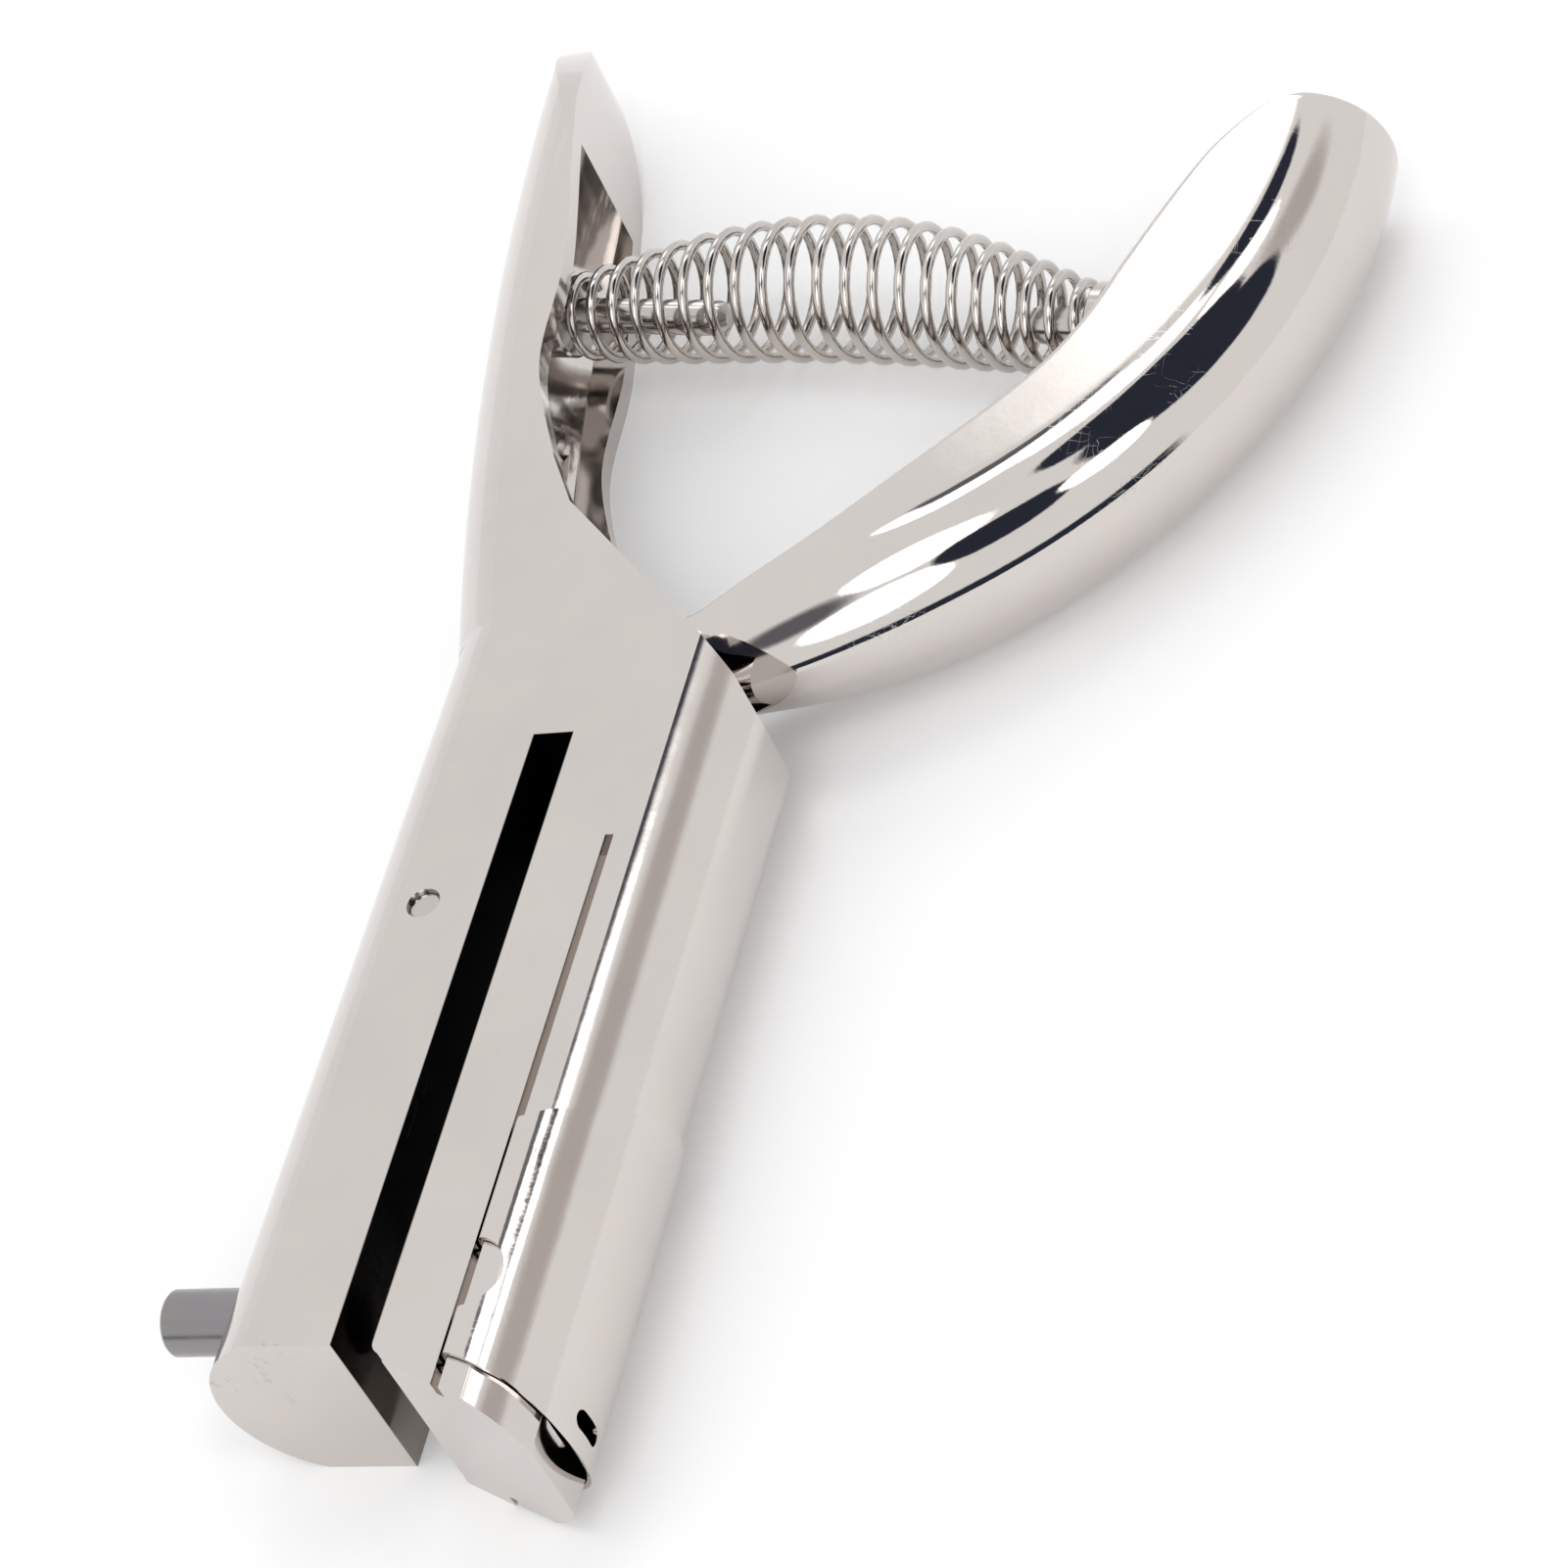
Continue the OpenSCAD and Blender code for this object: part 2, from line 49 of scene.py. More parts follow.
MM = 0.001
HALF = 9.75                       # half the body's thickness
SIDE_R = 10.3                     # radius of the rounded sides
PUNCH_JAW, DIE_JAW = 16.1, 17.6   # widths of the two jaws
GAP, THROAT_Y = 4.2, 71.5         # the throat's width, and where it ends
LEFT_C = SIDE_R - PUNCH_JAW       # centre of the rounded left side
NOSE = GAP + DIE_JAW              # the die jaw's outer side
RIGHT_C = NOSE - SIDE_R           # centre of the rounded right side
END_SLOPE = 0.443                 # how steeply the die jaw's end face falls across
SLOPE_SUM = THROAT_Y + 26.5       # x + y all along the body's sloped shoulder
PUNCH_Y, PUNCH_R = 9.6, 3.175     # the punch's axis and radius
PIVOT_X, PIVOT_Y = -6.0, 50.9     # the lever's pivot
PIVOT_R = 1.7                     # radius of its pin
HANDLE_Y, LEAN = 86.0, 15.4       # the fixed handle's root, and its lean there in degrees
BEND_R, HANDLE_LEN = 420.0, 99    # the radius that its back is bent to, and its length
BEND_X = -PUNCH_JAW + BEND_R * math.cos(math.radians(LEAN))
BEND_Y = HANDLE_Y + BEND_R * math.sin(math.radians(LEAN))
HANDLE_TURN = math.degrees(HANDLE_LEN / BEND_R)
HANDLE_END = BEND_Y - BEND_R * math.sin(math.radians(LEAN - HANDLE_TURN))
WALL = 2.3                        # wall of its channel
LEVER_R, LEVER_HALF = 67.6, 9.2   # the radius that the lever is bent to, and half its thickness
LEVER_X = 3.7                     # centre of that bend
LEVER_Y = THROAT_Y + 10 + LEVER_R
SEAT_X, SEAT_Y = -18.6, 140.6     # the spring's seat on the fixed handle
SPRING_LEAN, SPRING_LEN = 9.0, 63.0
WIRE_D, SPRING_END_D = 1.15, 9.2
GROOVE_X, GROOVE_W = NOSE - 10.4, 0.9    # the grooves that the sleeve's lips run in
TRACK_TOP, SLEEVE_TOP = 58.1, 24.4       # where the grooves end, and the sleeve's upper edge
RELIEF = 9.05                     # from the middle to the relief behind the sleeve
SHEET, SHEET_GAP = 0.45, 0.15     # the sleeve's wall, and its clearance
PAST = 12                         # a tool that cuts right through reaches this far up and down
PLACE = Vector((-GAP / 2, -THROAT_Y - 8, HALF))


# ---- small tools for making pieces ----


def none_picked():
    """Leaves edit mode and deselects everything."""
    if bpy.context.object and bpy.context.object.mode != "OBJECT":
        bpy.ops.object.mode_set(mode="OBJECT")
    bpy.ops.object.select_all(action="DESELECT")


def pick(*pieces):
    none_picked()
    for piece in pieces:
        piece.select_set(True)
    bpy.context.view_layer.objects.active = pieces[0]


def edit(piece):
    pick(piece)
    bpy.ops.object.mode_set(mode="EDIT")
    bpy.ops.mesh.select_mode(type="VERT")
    bpy.ops.mesh.select_all(action="SELECT")


def done():
    bpy.ops.object.mode_set(mode="OBJECT")
    return bpy.context.object


def outward(piece, within=1e-5):
    edit(piece)
    bpy.ops.mesh.remove_doubles(threshold=within)
    bpy.ops.mesh.normals_make_consistent(inside=False)
    return done()


def smoothed(piece, degrees):
    """Shades smooth, and keeps edges sharper than this many degrees."""
    pick(piece)
    bpy.ops.object.shade_smooth_by_angle(angle=math.radians(degrees))
    return piece


def loop(name, points):
    """A closed line through points, filled with a face and left open in edit mode."""
    none_picked()
    bpy.ops.mesh.primitive_circle_add(vertices=len(points), fill_type="NOTHING")
    piece = bpy.context.object
    piece.name = name
    for vertex, point in zip(piece.data.vertices, points):
        vertex.co = point
    edit(piece)
    bpy.ops.mesh.edge_face_add()
    return piece


def plate(name, corners, along):
    """A flat outline, drawn through its corners, and pulled along a direction."""
    piece = loop(name, corners)
    bpy.ops.mesh.extrude_region_move(TRANSFORM_OT_translate={"value": along})
    done()
    return outward(piece)


def slab(name, outline, low, high):
    return plate(name, [(x, y, low) for x, y in outline], (0, 0, high - low))


def block(name, low, high):
    corners = [(low[0], low[1]), (high[0], low[1]), (high[0], high[1]), (low[0], high[1])]
    return slab(name, corners, low[2], high[2])


def stand(piece, foot, toward):
    """Puts a piece that was made upright at the origin on its foot, pointing along a direction."""
    turn = Vector(toward).normalized().to_track_quat("Z", "Y").to_matrix().to_4x4()
    piece.data.transform(Matrix.Translation(Vector(foot)) @ turn)


def rod(name, foot, toward, length, radius, sides=96):
    """A round bar from its foot, along a direction."""
    none_picked()
    bpy.ops.mesh.primitive_cylinder_add(vertices=sides, radius=radius, depth=length)
    piece = bpy.context.object
    piece.name = name
    stand(piece, Vector(foot) + Vector(toward).normalized() * length / 2, toward)
    return piece


def turned(name, profile, foot, toward, sides=96):
    """A lathe-turned piece: (distance along, radius) pairs, spun about its own axis."""
    piece = loop(name, [(r, 0, z) for z, r in profile])
    bpy.ops.mesh.delete(type="ONLY_FACE")
    bpy.ops.mesh.select_all(action="SELECT")
    bpy.ops.mesh.spin(steps=sides, angle=math.tau, center=(0, 0, 0), axis=(0, 0, 1))
    done()
    stand(piece, foot, toward)
    return smoothed(outward(piece, 1e-4), 30)


def swept(name, section, centre, start, turn, steps):
    """A flat section of (radius, z) corners, spun about an upright axis at centre."""
    c, s = math.cos(math.radians(start)), math.sin(math.radians(start))
    piece = loop(name, [(centre[0] + r * c, centre[1] + r * s, z) for r, z in section])
    bpy.ops.mesh.spin(steps=steps, angle=-math.radians(turn), center=(centre[0], centre[1], 0),
                      axis=(0, 0, 1))
    done()
    return outward(piece)


def cut(piece, *tools, how="DIFFERENCE"):
    for tool in tools:
        joint = piece.modifiers.new("cut", "BOOLEAN")
        joint.operation, joint.solver, joint.object = how, "EXACT", tool
        pick(piece)
        bpy.ops.object.modifier_apply(modifier=joint.name)
        bpy.data.objects.remove(tool)
    return piece


def arc(cx, cy, r, start, end, steps):
    """Points round a centre, from one angle in degrees to another."""
    return [(cx + r * math.cos(math.radians(start + (end - start) * i / steps)),
             cy + r * math.sin(math.radians(start + (end - start) * i / steps)))
            for i in range(steps + 1)]


def break_edges(piece, width, sharper_than=14, steps=3, smooth=32):
    """Merges what lies flat, rounds every corner, and keeps the flats flat."""
    flat_within, same_point, speck, flat_weight = 0.05, 0.0005, 0.004, 92
    edit(piece)
    bpy.ops.mesh.remove_doubles(threshold=same_point)
    bpy.ops.mesh.dissolve_limited(angle_limit=math.radians(flat_within))
    done()
    rounding = piece.modifiers.new("broken edges", "BEVEL")
    rounding.width, rounding.segments = width, steps
    rounding.limit_method, rounding.angle_limit = "ANGLE", math.radians(sharper_than)
    rounding.use_clamp_overlap = True
    rounding.miter_outer = "MITER_ARC"
    pick(piece)
    bpy.ops.object.modifier_apply(modifier=rounding.name)
    edit(piece)
    bpy.ops.mesh.remove_doubles(threshold=speck)
    bpy.ops.mesh.dissolve_degenerate(threshold=speck)
    done()
    smoothed(piece, smooth)
    flats = piece.modifiers.new("flat flats", "WEIGHTED_NORMAL")
    flats.keep_sharp, flats.weight = True, flat_weight
    bpy.ops.object.modifier_apply(modifier=flats.name)
    return piece


def settle(piece, name, body, finish, replaced):
    """From the drawing's millimetres to its place in metres, then its finish, CAD node and body."""
    piece.name = piece.data.name = name
    piece.data.transform(Matrix.Diagonal((MM, MM, MM, 1)) @ Matrix.Translation(PLACE))
    piece.data.materials.clear()
    piece.data.materials.append(finish)
    for polygon in piece.data.polygons:
        polygon.material_index = 0
    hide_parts(*replaced)
    if body:
        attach(piece, body)
    return piece


# ---- finishes ----


class Wire:
    """A socket that does sums, so that shader maths reads as it is written."""

    def __init__(self, bench, socket):
        self.bench, self.socket = bench, socket

    def maths(self, kind, one, two=None):
        return self.bench.node("ShaderNodeMath", {"operation": kind}, {0: one, 1: two})

    def __add__(self, other):
        return self.maths("ADD", self, other)

    def __radd__(self, other):
        return self.maths("ADD", other, self)

    def __sub__(self, other):
        return self.maths("SUBTRACT", self, other)

    def __rsub__(self, other):
        return self.maths("SUBTRACT", other, self)

    def __mul__(self, other):
        return self.maths("MULTIPLY", self, other)

    def __rmul__(self, other):
        return self.maths("MULTIPLY", other, self)

    def __abs__(self):
        return self.maths("ABSOLUTE", self)


class Bench:
    """A material or world and its nodes."""

    def __init__(self, owner):
        owner.use_nodes = True
        self.tree = owner.node_tree

    def node(self, kind, settings=None, sockets=None, out=0):
        """Adds a node, sets it up, fills its sockets with values or wires, and gives one of its outputs."""
        made = self.tree.nodes.new(kind)
        for key, value in (settings or {}).items():
            setattr(made, key, value)
        for key, value in (sockets or {}).items():
            if value is None:
                continue
            if isinstance(value, Wire):
                self.tree.links.new(value.socket, made.inputs[key])
            elif isinstance(value, tuple) and len(value) == 3 and made.inputs[key].type == "RGBA":
                made.inputs[key].default_value = (*value, 1)
            else:
                made.inputs[key].default_value = value
        return Wire(self, made.outputs[out])

    def axes(self, vector):
        split = self.node("ShaderNodeSeparateXYZ", None, {0: vector})
        outs = split.socket.node.outputs
        return [Wire(self, outs[i]) for i in range(3)]

    def step(self, value, low, high):
        return self.node("ShaderNodeMapRange", {"interpolation_type": "SMOOTHSTEP"},
                         {"Value": value, "From Min": low, "From Max": high})

    def mix(self, amount, one, two):
        return self.node("ShaderNodeMix", {"data_type": "RGBA"}, {0: amount, 6: one, 7: two}, out=2)

    def noise(self, at, scale, detail=2.0, rough=0.5):
        return self.node("ShaderNodeTexNoise", None, {"Vector": at, "Scale": scale, "Detail": detail,
                                                      "Roughness": rough})


def metal(name, colour, roughness, wave=0.3, grain=0.15, scratch=0.3, shade=0.06, extra=None):
    """Plated or ground metal: wave and grain raise it, scratch marks it, shade darkens its tone."""
    made = bpy.data.materials.new(name)
    b = Bench(made)
    skin = b.tree.nodes["Principled BSDF"]
    at = b.node("ShaderNodeTexCoord", None, None, out=3)
    drift = b.noise(at, 38.0, 3.0, 0.6)
    cloud = b.noise(at, 160.0, 4.0, 0.65)
    speck = b.noise(at, 2600.0, 2.0, 0.7)
    turned_at = b.node("ShaderNodeMapping", None, {0: at, 2: (0.3, 0.2, 0.55), 3: (1.0, 0.045, 1.0)})
    crossed_at = b.node("ShaderNodeMapping", None, {0: at, 2: (0.1, 0.5, -0.9), 3: (0.05, 1.0, 1.0)})
    line_a = b.step(abs(b.noise(turned_at, 900.0, 1.0) - 0.5), 0.006, 0.0)
    line_b = b.step(abs(b.noise(crossed_at, 700.0, 1.0) - 0.5), 0.005, 0.0)
    patch = b.step(b.noise(at, 70.0, 2.0), 0.52, 0.68)
    lines = (line_a + line_b) * patch * scratch
    tone = b.step(drift, 0.3, 0.7)
    dark = tuple(c * (1 - shade) for c in colour)
    warm = (colour[0], colour[1] * (1 - shade * 0.35), colour[2] * (1 - shade * 0.9))
    base = b.mix(tone, dark, colour)
    base = b.mix(b.step(cloud, 0.45, 0.75) * 0.6, base, warm)
    rough = roughness + (cloud - 0.5) * roughness * 0.8 + lines * 0.12
    if extra:
        base, rough = extra(b, at, base, rough)
    height = drift * wave * 0.9 + cloud * wave * 0.12 + speck * grain * 0.01 - lines * 0.012
    bump = b.node("ShaderNodeBump", None, {"Strength": 0.35, "Distance": 0.0006, "Height": height})
    b.tree.links.new(base.socket, skin.inputs["Base Color"])
    b.tree.links.new(rough.socket, skin.inputs["Roughness"])
    b.tree.links.new(bump.socket, skin.inputs["Normal"])
    skin.inputs["Metallic"].default_value = 1.0
    return made


def near(b, at, centre, radius, soft):
    """1 close to a point, 0 beyond radius, with a ragged edge."""
    away = b.node("ShaderNodeVectorMath", {"operation": "DISTANCE"}, {0: at, 1: centre}, out=1)
    ragged = away + (b.noise(at, 900.0, 3.0, 0.7) - 0.5) * radius * 0.9
    return b.step(ragged, radius, radius * (1 - soft))


def casting_shade_and_wear(b, at, base, rough):
    """Painted shade inside the throat and the lever's space, and three pits and a stain outside."""
    x, y, z = b.axes(at)

    def fade(value, none, full):
        """0 at none and 1 at full, both in millimetres from the frame's origin."""
        return b.step(value, none * MM, full * MM)

    side, end = GAP / 2, THROAT_Y + PLACE.y
    slit = fade(abs(x), side + 0.15, side + 0.02)
    up = fade(y, -80, -62) * fade(y, end + 0.1, end)
    # painted shade: the throat's walls go near black, except for lighter streaks where it is left lit
    streak_noise = b.noise(b.node("ShaderNodeMapping", None, {0: at, 3: (1.0, 0.12, 0.5)}), 420.0, 3.0, 0.7)
    lit = b.step(streak_noise, 0.62, 0.8) * 0.5
    inside = slit * up
    base = b.mix(inside * (1 - lit), base, (0.018, 0.016, 0.017))
    # painted shade: the throat's walls toward the jaw end turn brown, lighter than further in
    mouth = slit * (1 - up) * fade(y, -30, -60)
    base = b.mix(mouth * 0.72, base, (0.16, 0.13, 0.11))
    # painted shade: the walls inside the lever's space go near black
    depth = fade(abs(z - HALF * MM), 7.5, 6.2)
    cavity_shade = depth * fade(x, 18.8, 18.0) * fade(x, -15, -13) * fade(y, -4, 1) * fade(y + x, 13.5, 12)
    base = b.mix(cavity_shade * 0.93, base, (0.03, 0.028, 0.027))
    for spot, size in (((0.01520, -0.04050, 0.01650), 0.00030), ((0.01780, -0.04900, 0.01480), 0.00045),
                       ((0.01640, -0.05300, 0.01590), 0.00018)):
        base = b.mix(near(b, at, spot, size, 0.5) * 0.8, base, (0.16, 0.11, 0.08))
    blotch = b.step(b.noise(at, 520.0, 5.0, 0.75), 0.57, 0.66)
    stain = blotch * fade(y, -79, -79.3) * fade(x, -6, -8.5) * fade(z, 9.5, 12.5)
    base = b.mix(stain * 0.45, base, (0.42, 0.36, 0.25))
    rough = rough + stain * 0.12 + inside * 0.25 + cavity_shade * 0.3
    return base, rough


def lever_wear(b, at, base, rough):
    """Fine rub marks and one small dark nick on the polished lever."""
    fine = b.step(abs(b.noise(at, 1500.0, 2.0, 0.6) - 0.5), 0.02, 0.0)
    patch = b.step(b.noise(at, 55.0, 2.0), 0.55, 0.72)
    rough = rough + fine * patch * 0.09
    base = b.mix(near(b, at, (0.0620, 0.0300, 0.0100), 0.0006, 0.5) * 0.7, base, (0.2, 0.12, 0.08))
    return base, rough


NICKEL = (0.640, 0.600, 0.575)
casting = metal("nickel_plate_casting", NICKEL, 0.10, wave=0.5, grain=0.35, scratch=0.5,
                extra=casting_shade_and_wear)
polished = metal("nickel_plate_polished", (0.655, 0.612, 0.585), 0.035, wave=0.35, grain=0.1,
                 scratch=0.8, shade=0.04, extra=lever_wear)
sheet = metal("nickel_plate_sheet", (0.645, 0.603, 0.575), 0.07, wave=0.9, grain=0.2, scratch=0.4)
ground = metal("ground_tool_steel", (0.30, 0.29, 0.30), 0.24, wave=0.15, grain=0.5, scratch=1.0,
               shade=0.15)
pin_steel = metal("pin_steel", (0.56, 0.53, 0.51), 0.16, wave=0.3, grain=0.4, scratch=0.8)
wire_metal = metal("spring_wire", (0.60, 0.565, 0.54), 0.10, wave=0.2, grain=0.2, scratch=0.5,
                   shade=0.15)


# ---- the fixed frame: punch jaw, die jaw, body and fixed handle in one casting ----


def back_at(y):
    """Where the fixed handle's back lies."""
    return BEND_X - math.sqrt(BEND_R ** 2 - (y - BEND_Y) ** 2)


def outside_round(cx, side, low, high):
    """What lies beyond a rounded side, from its centre line outwards."""
    lip, out, tall, steps = 1, 40, 12.5, 240
    reach = 180 - math.degrees(math.acos(lip / SIDE_R))
    ring = [(cx + side * x, z) for x, z in arc(0, 0, SIDE_R, -reach, reach, steps)]
    outline = ring + [(cx - side * lip, tall), (cx + side * out, tall),
                      (cx + side * out, -tall), (cx - side * lip, -tall)]
    return plate("beyond the round side", [(x, low, z) for x, z in outline], (0, high - low, 0))


def tip_arch(end, length, half):
    """What lies beyond a pointed arch that closes at end, its sides length long."""
    left, right, over, steps = -60, 90, 6, 40
    rise = half + 0.3
    r = (rise ** 2 + length ** 2) / (2 * rise)
    top = math.degrees(math.asin(length / r))
    side = arc(end - length, rise - r, r, 90, 90 - top, steps)
    outline = side + [(y, -z) for y, z in reversed(side[:-1])]
    outline += [(end - length, -half - over), (end + 2 * over, -half - over),
                (end + 2 * over, half + over), (end - length, half + over)]
    return plate("beyond the tip", [(left, y, z) for y, z in outline], (right - left, 0, 0))


def casting_blank():
    """The casting's outline with its sides and its handle's back rounded."""
    far_left, far_right, far_low = -36, NOSE + 2, -14
    # the handle's free edge: how high, and how far in from its back
    edge = [(HANDLE_Y + 37.5, 10.3), (HANDLE_Y + 53, 11.3), (HANDLE_Y + 71, 9.4), (HANDLE_END - 11, 7.0),
            (HANDLE_END - 4, 4.4), (HANDLE_END, 0.8)]
    edge_foot = (-8.6, SLOPE_SUM + 11.5)
    free_edge = smooth_run([edge_foot] + [(back_at(y) + deep, y) for y, deep in edge])
    outline = [(far_left, 0), (GAP / 2, 0), (GAP / 2, -END_SLOPE * 0.4), (GAP, -END_SLOPE * 2.6),
               (far_right, -END_SLOPE * (NOSE + 0.4)), (far_right, THROAT_Y + 3), (NOSE, THROAT_Y + 3.5),
               (18.5, SLOPE_SUM - 18.5), (-5, SLOPE_SUM + 5), *free_edge, (far_left, HANDLE_END + 6)]
    piece = slab("frame", outline, -HALF, HALF)
    cut(piece, outside_round(RIGHT_C, 1, far_low, 120))
    # a solid round the handle's back, from past the tip to below the root
    past_tip, below_root, outer = 6, 50 - LEAN, BEND_R + 70
    bow = arc(BEND_R - SIDE_R, 0, SIDE_R, -95.6, 95.6, 160)
    section = bow + [(bow[-1][0], PAST), (outer, PAST), (outer, -PAST), (bow[0][0], -PAST)]
    beyond = swept("beyond the handle's back", section, (BEND_X, BEND_Y),
                   180 + LEAN - HANDLE_TURN - past_tip, HANDLE_TURN + past_tip + below_root, 120)
    cut(beyond, outside_round(LEFT_C, -1, -30, 240), how="INTERSECT")
    return cut(piece, beyond)


def handle_channel():
    """The hollow of the fixed handle, round like its back and flat beside its faces."""
    short, root = 3.4, 2.2            # degrees of the handle left solid at its tip and at its root
    flat = HALF - WALL
    bowl = [(r, max(-flat, min(flat, z)))
            for r, z in arc(BEND_R - SIDE_R, 0, SIDE_R - WALL, -68.5, 68.5, 90)]
    section = bowl + [(BEND_R - 30, flat), (BEND_R - 30, -flat)]
    return swept("channel", section, (BEND_X, BEND_Y), 180 + LEAN - HANDLE_TURN + short,
                 HANDLE_TURN - short - root, 90)


def make_frame():
    piece = casting_blank()
    # the lever's space, narrow for the arm and wider for the neck
    arm_half, neck_half = 5.2, 6.9
    cut(piece, slab("arm space", [(-14.075, 5.5), (-2.4, 5.5), (-2.4, 47.0), (-14.075, 47.0)],
                    -arm_half, arm_half))
    left, right = PIVOT_X - 5.2, PIVOT_X + 4.55
    cut(piece, slab("lever space", [(left, 45.2), (right, 45.2), (right, 77.0), (8, 80.2), (16.9, 80.6),
                                    (16.9, 111.5), (10, 141.5), (back_at(126) + 5.5, 126),
                                    (back_at(100) + 5.8, 100), (left, 87)], -neck_half, neck_half))
    cut(piece, handle_channel())
    cut(piece, tip_arch(HANDLE_END, 24, HALF))
    # throat, with the die jaw's corner rounded at the mouth
    low, mouth_r, open_end = -2.6 * END_SLOPE, 1.6, -14
    corner = arc(GAP + mouth_r, mouth_r + low, mouth_r, 180, 270, 16)
    cut(piece, slab("throat", [(0, open_end), (GAP + mouth_r, open_end), *reversed(corner),
                               (GAP, THROAT_Y), (0, THROAT_Y)], -PAST, PAST))
    # bores
    post_len = 20
    cut(piece, rod("pivot bore", (PIVOT_X, PIVOT_Y, -PAST), (0, 0, 1), 2 * PAST, PIVOT_R + 0.035, 64),
        rod("punch bore", (-21.1, PUNCH_Y, 0), (1, 0, 0), 21.6, PUNCH_R + 0.05),
        rod("die seat", (3.7, PUNCH_Y, 0), (1, 0, 0), 8.5, 4.81),
        rod("chip way", (4.2, PUNCH_Y, 0), (1, 0, 0), 17.6, 3.8),
        rod("post bore", on_spring_axis(-post_len), axis_way(), post_len, 1.905, 64))
    # the chip catcher's track, its flat and its chamber
    groove_floor, groove_end, above, far_right, below = 8.25, GROOVE_X + GROOVE_W, 13, 42, -30
    cut(piece, block("front groove", (GROOVE_X, below, groove_floor), (groove_end, TRACK_TOP, above)),
        block("back groove", (GROOVE_X, below, -above), (groove_end, TRACK_TOP, -groove_floor)),
        block("back relief", (GROOVE_X + GROOVE_W / 2, below, -above), (52, TRACK_TOP, -RELIEF)))
    cut(piece, block("nose flat", (NOSE - 1.3, below, -PAST), (far_right, SLEEVE_TOP, PAST)),
        block("chip chamber", (NOSE - 5.3, -4.4, -4), (far_right, 22.0, 4)))
    return break_edges(piece, 0.22)


def smooth_run(points, steps=8):
    """A smooth line through points, ends included."""
    out = []
    for i in range(len(points) - 1):
        p0, p1 = points[max(i - 1, 0)], points[i]
        p2, p3 = points[i + 1], points[min(i + 2, len(points) - 1)]
        for k in range(steps):
            t = k / steps
            out.append(tuple(0.5 * (2 * b + (c - a) * t + (2 * a - 5 * b + 4 * c - d) * t * t
                                    + (3 * b - a - 3 * c + d) * t ** 3)
                             for a, b, c, d in zip(p0, p1, p2, p3)))
    return out + [points[-1]]


def axis_way():
    """The spring's direction, from the fixed handle to the lever."""
    lean = math.radians(SPRING_LEAN)
    return Vector((math.cos(lean), -math.sin(lean), 0))


def on_spring_axis(distance):
    return Vector((SEAT_X, SEAT_Y, 0)) + axis_way() * distance


settle(make_frame(), "frame_casting", "frame_body", casting, ("frame",))


# ---- the lever: a polished shell, cut straight at its tip, with its neck and drive arm ----

# the free edge of the lever's shell, from its root to its tip
LEVER_EDGE = [(-9, 85.6), (-3, 86.2), (4, 87.2), (10.7, 89), (16.4, 92.3), (24, 97.5), (32, 104.9),
              (41.3, 114.6), (46, 122), (49.3, 131), (52.8, 139.9), (55.8, 146.1), (60, 151), (64.5, 152.7)]


def lever_shell():
    """A channel bent round LEVER_X, LEVER_Y: a round back, flat sides, and the free edge of LEVER_EDGE."""
    across, along = 56, 170
    first, last = math.radians(-96.5), math.radians(3.35)
    # half the root's thickness, where its taper starts outside the body, and how far that runs
    root_half, root_out, taper = 6.55, 1.9, 24.0
    round_len = LEVER_HALF * math.pi / 2
    flat_start = LEVER_R - LEVER_HALF
    edge = sorted((math.atan2(y - LEVER_Y, x - LEVER_X), math.hypot(x - LEVER_X, y - LEVER_Y))
                  for x, y in smooth_run(LEVER_EDGE))

    def point(angle, s):
        """s is the length round the section from the back's middle; past the round the sides run flat."""
        if abs(s) <= round_len:
            rho = flat_start + LEVER_HALF * math.cos(s / LEVER_HALF)
            z = LEVER_HALF * math.sin(s / LEVER_HALF)
        else:
            rho = flat_start - (abs(s) - round_len)
            z = math.copysign(LEVER_HALF, s)
        p = Vector((LEVER_X + rho * math.cos(angle), LEVER_Y + rho * math.sin(angle), z))
        # the root draws in, so that it passes between the body's walls
        away = (p.x + p.y - SLOPE_SUM) / math.sqrt(2)
        t = 1 - max(0.0, min(1.0, (away - root_out) / taper))
        p.z *= (root_half + (LEVER_HALF - root_half) * (1 - t * t)) / LEVER_HALF
        return p

    def reach(angle):
        """How far round the section the free edge lies."""
        rho = edge[0][1] if angle < edge[0][0] else edge[-1][1]
        for (a0, r0), (a1, r1) in zip(edge, edge[1:]):
            if a0 <= angle <= a1:
                rho = r0 + (r1 - r0) * (angle - a0) / (a1 - a0)
        if rho < flat_start:
            return round_len + flat_start - rho
        return LEVER_HALF * math.acos((rho - flat_start) / LEVER_HALF)

    none_picked()
    bpy.ops.mesh.primitive_grid_add(x_subdivisions=across, y_subdivisions=along, size=2)
    shell = bpy.context.object
    for vertex in shell.data.vertices:
        u, v = vertex.co.x, (vertex.co.y + 1) / 2
        angle = first + (last - first) * v
        vertex.co = point(angle, u * reach(angle))
    outward(shell)
    middle = shell.data.polygons[len(shell.data.polygons) // 2]
    if middle.normal.dot(middle.center - Vector((LEVER_X, LEVER_Y, 0))) < 0:
        edit(shell)
        bpy.ops.mesh.flip_normals()
        done()
    wall = shell.modifiers.new("wall", "SOLIDIFY")
    wall.thickness, wall.offset, wall.use_even_offset = 2.0, -1, False
    pick(shell)
    bpy.ops.object.modifier_apply(modifier=wall.name)
    return shell


